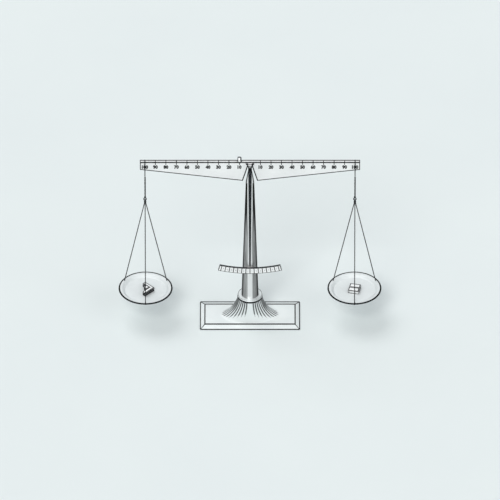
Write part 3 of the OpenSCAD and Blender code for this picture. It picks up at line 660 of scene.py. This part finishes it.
def base_casting():
    """The flare, with grooves cut down it from the collar that fade out towards the plate. The third
    value is how dark each point is: dark in the grooves, and painted shade on the flare's two sides."""
    collar_r, foot_x, foot_y, power = 16 * MM, 39 * MM, 19.5 * MM, 1.3
    foot_drop, socket_r, socket_depth = 0.6 * MM, 11.03 * MM, 2 * MM
    grooves, levels, cut_depth, cut_half = 36, 48, 0.45 * MM, 1.0 * MM
    around = grooves * 12
    turns = round_turn(around)
    verts, faces, dark = [], [], []
    rings = [(1.0, -foot_drop)] + [(k / levels, 0.0) for k in range(levels, -1, -1)]
    for share, drop in rings:
        angle = math.radians(90 * share)
        rx = foot_x - (foot_x - collar_r) * math.cos(angle) ** power
        ry = collar_r + (rx - collar_r) * (foot_y - collar_r) / (foot_x - collar_r)
        z = BASE_HIGH.z - (BASE_HIGH.z - PLATE_TOP_Z) * math.sin(angle) ** power + drop
        for i, turn in enumerate(turns):
            across = abs(math.cos(turn))
            along = math.hypot(rx * math.sin(turn), ry * math.cos(turn)) * math.tau / grooves
            away = abs(i * grooves / around % 1 - 0.5) * along
            # Towards the two sides the grooves reach further down and end more sharply, and a painted shade
            # darkens the sides below the collar.
            side = eased((across - 0.80) / 0.16)
            reach = 0.54 + 0.38 * across ** 2
            taper = eased((reach - share) / (0.16 - 0.08 * side)) if drop == 0 and across > 0.2 else 0.0
            half = cut_half * taper
            groove = eased(3.0 * (1 - away / half)) if half > 0 else 0.0
            # Painted shade: the flare's two sides are darkened below the collar.
            painted_side_shade = 0.9 * side * eased((0.60 - share) / 0.3) * taper
            cut = 1 - groove * cut_depth / rx
            verts.append(Vector((rx * cut * math.cos(turn), ry * cut * math.sin(turn), z)))
            dark.append(max(groove, painted_side_shade))
    for k in range(len(rings) - 1):
        for i in range(around):
            n = (i + 1) % around
            faces.append([k * around + i, k * around + n, (k + 1) * around + n, (k + 1) * around + i])
    faces.append(list(range(around)))
    top = len(verts)
    for z in (BASE_HIGH.z, BASE_HIGH.z - socket_depth):
        verts += [Vector((socket_r * math.cos(t), socket_r * math.sin(t), z)) for t in turns]
        dark += [0.0] * around
    last = (len(rings) - 1) * around
    for i in range(around):
        n = (i + 1) % around
        faces.append([last + i, last + n, top + n, top + i])
        faces.append([top + i, top + n, top + around + n, top + around + i])
    faces.append([top + around + i for i in range(around)])
    return verts, faces, dark


def plate():
    """The bevelled plate with rounded arrises and the bolt's recess beneath."""
    recess, recess_top, sides = 10 * MM, PLATE_TOP_Z - 0.3 * MM, 48
    bm = bmesh.new()
    rings = []
    for x, y, z in ((BASE_HIGH.x, BASE_HIGH.y, 0.0), (BASE_HIGH.x, BASE_HIGH.y, PLATE_EDGE_Z),
                    (PLATE_TOP_X, PLATE_TOP_Y, PLATE_TOP_Z)):
        rings.append([bm.verts.new((i * x, j * y, z)) for i, j in CORNERS])
    for a, b in zip(rings, rings[1:]):
        for k in range(4):
            bm.faces.new([a[k], a[(k + 1) % 4], b[(k + 1) % 4], b[k]])
    bm.faces.new(rings[-1])
    hole = [[bm.verts.new((recess * math.cos(t), recess * math.sin(t), z)) for t in round_turn(sides)]
            for z in (0.0, recess_top)]
    for k in range(sides):
        bm.faces.new([hole[0][k], hole[0][(k + 1) % sides], hole[1][(k + 1) % sides], hole[1][k]])
    bm.faces.new(hole[1])
    under = [bm.edges.get((rings[0][k], rings[0][(k + 1) % 4])) for k in range(4)]
    rim = [bm.edges.get((hole[0][k], hole[0][(k + 1) % sides])) for k in range(sides)]
    bmesh.ops.triangle_fill(bm, use_beauty=True, edges=under + rim)
    # The plate's outer edges above the foot, and not those of the recess.
    arrises = [e for e in bm.edges if len(e.link_faces) == 2 and e.calc_face_angle(0) > 0.25
               and all(abs(v.co.x) > 20 * MM and v.co.z > 0.1 * MM for v in e.verts)]
    bmesh.ops.bevel(bm, geom=arrises, offset=0.3 * MM, segments=3, profile=0.5, affect="EDGES")
    bm.verts.index_update()
    verts = [v.co.copy() for v in bm.verts]
    faces = [[v.index for v in f.verts] for f in bm.faces]
    bm.free()
    return verts, faces


flare_verts, flare_faces, flare_dark_and_side_shade = base_casting()
base = piece("base", *merged([(flare_verts, flare_faces), plate()]), LOOKS["enamel"], "stand",
             ["base_casting"], "enamel", sharp=35)
layer = base.data.attributes.new("groove_dark_and_side_shade", "FLOAT", "POINT")
for index, value in enumerate(flare_dark_and_side_shade):
    layer.data[index].value = value
piece("base_lining", *base_lining(), INK, "stand")


# Scales: black fill in the grooves, lining and numerals.
def numeral_mesh(text, height, depth, weight, narrow):
    """A number in the plain built-in letters, standing in X and Z, with its middle at the origin."""
    digit_share = 0.70
    curve = bpy.data.curves.new("numeral", "FONT")
    curve.body = text
    curve.size = height / digit_share
    curve.offset = weight
    curve.align_x, curve.align_y = "CENTER", "CENTER"
    curve.extrude = depth
    curve.resolution_u = 4
    curve.space_character = 1.05
    holder = bpy.data.objects.new("numeral", curve)
    bpy.context.scene.collection.objects.link(holder)
    mesh = bpy.data.meshes.new_from_object(holder.evaluated_get(bpy.context.evaluated_depsgraph_get()))
    verts = [Vector((v.co.x * narrow, -v.co.z, v.co.y)) for v in mesh.vertices]
    faces = [list(p.vertices) for p in mesh.polygons]
    span_x = (min(v.x for v in verts) + max(v.x for v in verts)) / 2
    span_z = (min(v.z for v in verts) + max(v.z for v in verts)) / 2
    bpy.data.objects.remove(holder)
    bpy.data.curves.remove(curve)
    bpy.data.meshes.remove(mesh)
    return [v - Vector((span_x, 0, span_z)) for v in verts], faces


def beam_divisions():
    """Fill in the grooves over the beam's top and down its front; the end ones start below the notches."""
    front, back, top = BEAM_LOW.y, BEAM_HIGH.y, BEAM_HIGH.z
    half = GROOVE_WIDTH / 2
    parts = []
    for i in both_sides(GRADUATIONS):
        left, right = i * STEP - half, i * STEP + half
        if abs(i) == GRADUATIONS:
            front_top = HANG_Z - NOTCH
        else:
            front_top = top - GROOVE_DEPTH
            parts.append(block((left, front + FILL_SINK, front_top),
                               (right, back - FILL_SINK, top - FILL_SINK)))
        parts.append(block((left, front + FILL_SINK, top - GROOVE_DROP),
                           (right, front + GROOVE_DEPTH, front_top)))
    return merged(parts)


def beam_numerals():
    """10 to 100 below the divisions of each arm."""
    proud, drop = 0.01 * MM, 8.1 * MM
    parts = []
    for i in both_sides(GRADUATIONS):
        verts, faces = numeral_mesh(str(abs(i) * 10), height=4.8 * MM, depth=NUMERAL_DEPTH,
                                    weight=0.48 * MM, narrow=0.82)
        place = Vector((i * STEP, BEAM_LOW.y - proud, BEAM_HIGH.z - drop))
        parts.append(([v + place for v in verts], faces))
    return merged(parts)


def arc_place(i, reach):
    """The turn and the shift that bring a shape from the origin to place i along the arc."""
    return (Matrix.Translation(PIVOT) @ Matrix.Rotation(-i * DIVISION_ANGLE, 4, "Y")
            @ Matrix.Translation((0, ARC_LOW.y, -reach)))


def arc_divisions():
    """Fill in the grooves across the arc's face."""
    parts = []
    half, margin = GROOVE_WIDTH / 2, 0.02 * MM
    for i in range(-ARC_DIVISIONS, ARC_DIVISIONS + 1):
        place = arc_place(i, ARC_RADIUS)
        verts, faces = block((-half, FILL_SINK, margin), (half, GROOVE_DEPTH, ARC_FACE_HEIGHT - margin))
        parts.append(([place @ v for v in verts], faces))
    return merged(parts)


def arc_numerals():
    """1 to 7 between the divisions on each side of the arc's middle."""
    parts = []
    for i in both_sides(ARC_DIVISIONS):
        place = arc_place(i - math.copysign(0.5, i), ARC_RADIUS - ARC_FACE_HEIGHT / 2)
        verts, faces = numeral_mesh(str(abs(i)), height=2.8 * MM, depth=NUMERAL_DEPTH, weight=0.0, narrow=0.9)
        parts.append(([place @ v for v in verts], faces))
    return merged(parts)


def beam_lining():
    """Thin black borders round the beam's front face and its top."""
    front, back, top = BEAM_LOW.y, BEAM_HIGH.y, BEAM_HIGH.z
    end, low_end, low_middle = BEAM_HIGH.x, top - 12.5 * MM, BEAM_LOW.z
    notch, notch_top, ceiling = 9.2 * MM, 1.9 * MM, PIVOT.z + 1.2 * MM
    outline = [(-end, low_end), (-notch, low_middle), (-notch_top, ceiling), (notch_top, ceiling),
               (notch, low_middle), (end, low_end), (end, top), (-end, top)]
    notches = [(side * ARM - NOTCH, side * ARM + NOTCH) for side in (-1, 1)]
    slope, mouth, ends, upper = 1.2 * MM, 1.4 * MM, 1.1 * MM, 1.6 * MM
    widths = [slope, mouth, slope, mouth, slope, ends, upper, ends]
    face_margin, top_margin, top_front, top_rear = 0.08 * MM, 0.05 * MM, 0.7 * MM, 2.0 * MM
    face = border(outline, face_margin, widths, front - LINE_PROUD, front + LINE_SUNK, notches)
    plan = [(-end, front), (end, front), (end, back), (-end, back)]
    return merged([face, laid_flat(top, plan, top_margin, [top_front, ends, top_rear, ends], notches)])


def arc_lining():
    """A black border along both edges and the ends of the arc's face."""
    outer, inner = ARC_RADIUS, ARC_RADIUS - ARC_FACE_HEIGHT
    margin, end_margin, steps = 0.08 * MM, 0.1 * MM, 48
    end = math.asin(ARC_HIGH.x / outer) * 0.998
    end_inside = end - 0.004
    y0, y1 = ARC_LOW.y - LINE_PROUD, ARC_LOW.y + LINE_SUNK

    def on_face(points):
        return [(r * math.sin(angle), PIVOT.z - r * math.cos(angle)) for r, angle in points]

    angles = [end * (2 * k / steps - 1) for k in range(steps + 1)]
    parts = []
    for low, high in ((outer - 0.7 * MM, outer - margin), (inner + margin, inner + 0.5 * MM)):
        ring = [(high, a) for a in angles] + [(low, a) for a in angles[::-1]]
        parts.append(slab(on_face(ring), y0, y1))
    for side in (-1, 1):
        corners = [(inner + end_margin, side * end), (outer - end_margin, side * end),
                   (outer - end_margin, side * end_inside), (inner + end_margin, side * end_inside)]
        parts.append(slab(on_face(corners), y0, y1))
    return merged(parts)


piece("beam_divisions", *beam_divisions(), INK, "beam", smooth=False)
piece("beam_numerals", *beam_numerals(), INK, "beam", smooth=False)
piece("beam_lining", *beam_lining(), INK, "beam")
piece("arc_divisions", *arc_divisions(), INK, "stand", smooth=False)
piece("arc_numerals", *arc_numerals(), GREY_FILL, "stand", smooth=False)
piece("arc_lining", *arc_lining(), INK, "stand")


# Loose weights and the rider, with their edges chamfered.
def weight_look(name, black):
    return metal(name, grey(0.78), grey(0.88), 0.4, 0.65, brush=(1, 0.1, 1), brush_depth=0.10,
                 round_edge=0.12, tarnish=0.15, black=black)


CHAMFER, RIDER_CHAMFER, LINING_OVERLAP = 0.35 * MM, 0.18 * MM, 0.05 * MM
# Painted shade: every face of these weights but the top is painted near black, and the front bar's mask
# leaves the middle of its front bright.
for name, look, line in (("weight_plate", weight_look("lapped_weight", not_facing("Z")), 0),
                         ("weight_ell", weight_look("lapped_angle", not_facing("Z")), 0.9 * MM),
                         ("weight_square", weight_look("lapped_square", not_facing("Z")), 0.5 * MM),
                         ("weight_bar_front", weight_look("lapped_bar", bar_black), 1.1 * MM),
                         ("weight_bar_rear", weight_look("lapped_rear_bar", not_facing("Z")), 1.1 * MM)):
    softened(f"{name}_lapped", name, CHAMFER, look, name)
    if line:
        corners, height = top_outline(name)
        lines = laid_flat(height, corners, CHAMFER - LINING_OVERLAP, [line] * len(corners))
        piece(f"{name}_lining", *lines, INK, name, smooth=False)
softened("rider_saddle", "rider", RIDER_CHAMFER, RIDER_LOOK, "rider")


# Hangers: wires, rings, knots, cords.
def wire_hanger(x):
    """One length of wire: its ends twist together below the legs, and its middle lies in the notch."""
    leg_gap, leg_length, leg_taper, bend = 0.35 * MM, 19.3 * MM, 6 * MM, 0.6 * MM
    pitch, offset, thin = 4.6 * MM, 0.48 * MM, 0.52 * MM
    wrap_radius, wrap_wire, wrap_rise = 0.95 * MM, 0.36 * MM, 0.75 * MM
    twist_steps, taper_steps, leg_steps, bend_steps = 130, 8, 4, 6
    leg_y = BEAM_HIGH.y + leg_gap + STIRRUP_WIRE
    leg_low = HANG_Z - leg_length
    meet = leg_low - leg_taper
    eye_centre = EYE_Z + EYE_RADIUS
    twist_low = eye_centre + EYE_RADIUS + 0.4 * MM
    strands = []
    for side in (-1, 1):
        path, radii = [], []
        for k in range(twist_steps + 1):
            z = twist_low + (meet - twist_low) * k / twist_steps
            turn = math.tau * (z - meet) / pitch + (0 if side > 0 else math.pi) + math.pi / 2
            path.append(Vector((x + offset * math.cos(turn), offset * math.sin(turn), z)))
            radii.append(thin)
        for k in range(1, taper_steps + 1):
            share = k / taper_steps
            path.append(Vector((x, side * (offset + (leg_y - offset) * eased(share)),
                                meet + (leg_low - meet) * share)))
            radii.append(thin + (STIRRUP_WIRE - thin) * share)
        for k in range(1, leg_steps + 1):
            path.append(Vector((x, side * leg_y, leg_low + (HANG_Z - bend - leg_low) * k / leg_steps)))
        for k in range(1, bend_steps + 1):
            turn = math.pi / 2 * k / bend_steps
            path.append(Vector((x, side * (leg_y - bend * (1 - math.cos(turn))),
                                HANG_Z - bend * (1 - math.sin(turn)))))
        path.append(Vector((x, 0, HANG_Z)))
        radii += [STIRRUP_WIRE] * (len(path) - len(radii))
        strands.append((path, radii))
    (front, front_r), (rear, rear_r) = strands
    parts = [tube(front + rear[-2::-1], front_r + rear_r[-2::-1], 12)]
    loop = [Vector((x + EYE_RADIUS * math.sin(t), 0, eye_centre + EYE_RADIUS * math.cos(t)))
            for t in round_turn(48)]
    parts.append(tube(loop, STIRRUP_WIRE, 12, closed=True))
    for k in range(3):
        z = twist_low - 0.3 * MM + k * wrap_rise
        wrap = [Vector((x + wrap_radius * math.cos(t), wrap_radius * math.sin(t), z))
                for t in round_turn(24)]
        parts.append(tube(wrap, wrap_wire, 8, closed=True))
    return merged(parts)


def cord_ends(x, degrees):
    """Where a cord leaves the upper knot, and the middle of the knot below its hole."""
    turn = math.radians(degrees)
    away = Vector((math.cos(turn), math.sin(turn), 0))
    top = Vector((x, 0, KNOT_LOW.z + 0.1 * MM)) + away * CORD_TOP_RADIUS
    bottom = Vector((x, 0, (RIM_KNOT_LOW.z + RIM_KNOT_HIGH.z) / 2)) + away * HOLE_RADIUS
    return top, bottom


def twisted_cord(x, degrees):
    """Three strands laid round each other, as thick together as the cord."""
    strands, strand, offset, pitch, per_turn, tuck = 3, 0.36 * MM, 0.29 * MM, 3.0 * MM, 9, 0.6 * MM
    top, bottom = cord_ends(x, degrees)
    top += (top - bottom).normalized() * tuck
    along = (bottom - top).normalized()
    side = along.orthogonal().normalized()
    other = along.cross(side)
    length = (bottom - top).length
    steps = int(length / pitch * per_turn)
    parts = []
    for s in range(strands):
        path = []
        for k in range(steps + 1):
            reach = length * k / steps
            turn = math.tau * (reach / pitch + s / strands)
            path.append(top + along * reach + (side * math.cos(turn) + other * math.sin(turn)) * offset)
        parts.append(tube(path, strand, 6))
    return merged(parts)


def lashing(x):
    """The cords' upper ends tied to the ring: turns round the three cords and a bight through the ring."""
    middle = Vector((x, 0, (KNOT_LOW.z + KNOT_HIGH.z) / 2))
    turns, per_turn, rise = 4, 20, 0.72 * MM
    path = []
    for k in range(turns * per_turn + 1):
        turn = math.tau * k / per_turn
        z = middle.z - 1.45 * MM + rise * k / per_turn
        reach = 1.12 * MM + 0.16 * MM * math.sin(math.pi * k / (turns * per_turn))
        path.append(Vector((x + reach * math.cos(turn), reach * math.sin(turn), z)))
    parts = [tube(path, 0.42 * MM, 8)]
    ring_low = Vector((x, 0, RING_LOW.z + 0.45 * MM))
    for shift in (-0.55 * MM, 0.55 * MM):
        loop = [ring_low + Vector((shift * 0.4 + 0.86 * MM * math.sin(t), shift,
                                   -0.1 * MM + 0.92 * MM * math.cos(t))) for t in round_turn(24)]
        parts.append(tube(loop, 0.40 * MM, 8, closed=True))
    parts.append(lathe([(0, -1.6 * MM), (0.9 * MM, -1.5 * MM), (1.15 * MM, -0.6 * MM), (1.1 * MM, 0.6 * MM),
                        (0.7 * MM, 1.0 * MM), (0, 1.05 * MM)], middle, 24))
    return merged(parts)


def stopper(x, degrees):
    """A small overhand knot under the rim."""
    _, centre = cord_ends(x, degrees)
    size = 0.30 * MM
    path = [centre + Vector((math.sin(t) + 2 * math.sin(2 * t), math.cos(t) - 2 * math.cos(2 * t),
                             -1.2 * math.sin(3 * t))) * size for t in round_turn(60)]
    return tube(path, 0.38 * MM, 8, closed=True)


for hand, x in (("left", -ARM), ("right", ARM)):
    piece(f"{hand}_stirrup_wire", *wire_hanger(x), LOOKS["wire"], f"{hand}_stirrup",
          [f"{hand}_stirrup"], "wire")
    piece(f"{hand}_lashing", *lashing(x), SILK, f"{hand}_pan", [f"{hand}_knot"], "cord")
    for where, degrees in CORD_ANGLES.items():
        piece(f"{hand}_cord_{where}_silk", *twisted_cord(x, degrees), SILK, f"{hand}_pan",
              [f"{hand}_cord_{where}"], "cord")
    piece(f"{hand}_stoppers", *merged([stopper(x, d) for d in CORD_ANGLES.values()]), SILK,
          f"{hand}_pan", [f"{hand}_rim_knots"], "cord")


# Stage, light and camera.
AMBIENT = 0.42


def floor():
    f = Finish("floor", IOR=1.3)
    tint = f.mix(f.ramp(f.noise(3.5, 4), 0.3, 0.7), (0.70, 0.75, 0.755, 1), (0.72, 0.77, 0.77, 1))
    f.shade(Base_Color=tint, Roughness=f.ramp(f.noise(40), 0.3, 0.7, 0.75, 0.85))
    size = 12.0
    mesh = bpy.data.meshes.new("floor")
    mesh.from_pydata([(-size, -size, 0), (size, -size, 0), (size, size, 0), (-size, size, 0)], [],
                     [(0, 1, 2, 3)])
    mesh.materials.append(f.material)
    obj = bpy.data.objects.new("floor", mesh)
    bpy.context.scene.collection.objects.link(obj)


def world():
    """Even studio air for the light, and a pale backdrop for the camera and for reflections."""
    sky = bpy.data.worlds.new("studio")
    bpy.context.scene.world = sky
    sky.use_nodes = True
    tree = sky.node_tree
    tree.nodes.clear()
    join = tree.links.new
    out = tree.nodes.new("ShaderNodeOutputWorld")
    either = tree.nodes.new("ShaderNodeMixShader")
    light, shown = tree.nodes.new("ShaderNodeBackground"), tree.nodes.new("ShaderNodeBackground")
    light.inputs[0].default_value = (0.93, 0.97, 1.0, 1)
    light.inputs[1].default_value = AMBIENT
    paths = tree.nodes.new("ShaderNodeLightPath")
    seen = paths.outputs["Is Camera Ray"]
    for name in ("Is Glossy Ray", "Is Transmission Ray"):
        most = tree.nodes.new("ShaderNodeMath")
        most.operation = "MAXIMUM"
        join(seen, most.inputs[0])
        join(paths.outputs[name], most.inputs[1])
        seen = most.outputs[0]
    split = tree.nodes.new("ShaderNodeSeparateXYZ")
    join(tree.nodes.new("ShaderNodeTexCoord").outputs["Generated"], split.inputs[0])
    band = tree.nodes.new("ShaderNodeValToRGB")
    for element, place, colour in zip(band.color_ramp.elements, (0.0, 0.6),
                                      ((0.62, 0.68, 0.70, 1), (0.86, 0.91, 0.93, 1))):
        element.position, element.color = place, colour
    join(split.outputs["Z"], band.inputs[0])
    join(band.outputs[0], shown.inputs[0])
    join(seen, either.inputs[0])
    join(light.outputs[0], either.inputs[1])
    join(shown.outputs[0], either.inputs[2])
    join(either.outputs[0], out.inputs[0])


def sun(name, azimuth, elevation, spread, strength, colour=(1, 1, 1)):
    """A wide soft lamp far off, at an azimuth counterclockwise from +X."""
    lamp = bpy.data.lights.new(name, "SUN")
    lamp.energy, lamp.angle, lamp.color = strength, math.radians(spread), colour
    obj = bpy.data.objects.new(name, lamp)
    turn, rise = math.radians(azimuth), math.radians(elevation)
    away = Vector((math.cos(turn) * math.cos(rise), math.sin(turn) * math.cos(rise), math.sin(rise)))
    obj.location = away
    obj.rotation_euler = (-away).to_track_quat("-Z", "Y").to_euler()
    bpy.context.scene.collection.objects.link(obj)


def camera():
    """Far off with a long lens, as the drawing's parallel view needs, looking 37 degrees down."""
    view_width, lens, sensor = 0.65, 1000, 36
    elevation, aim = math.radians(36.87), Vector((0, 0, 0.108))
    distance = view_width * lens / sensor
    data = bpy.data.cameras.new("camera")
    data.lens, data.sensor_width = lens, sensor
    data.clip_start, data.clip_end = 0.1, 100
    obj = bpy.data.objects.new("camera", data)
    back = Vector((0, -math.cos(elevation), math.sin(elevation)))
    obj.location = aim + back * distance
    obj.rotation_euler = (-back).to_track_quat("-Z", "Y").to_euler()
    bpy.context.scene.collection.objects.link(obj)
    bpy.context.scene.camera = obj


floor()
world()
sun("key", azimuth=-108, elevation=44, spread=26, strength=1.62, colour=(1.0, 0.99, 0.97))
sun("fill", azimuth=-35, elevation=35, spread=40, strength=0.55)
sun("rear", azimuth=140, elevation=62, spread=40, strength=0.93)
camera()
bpy.context.scene.view_settings.view_transform = "Standard"
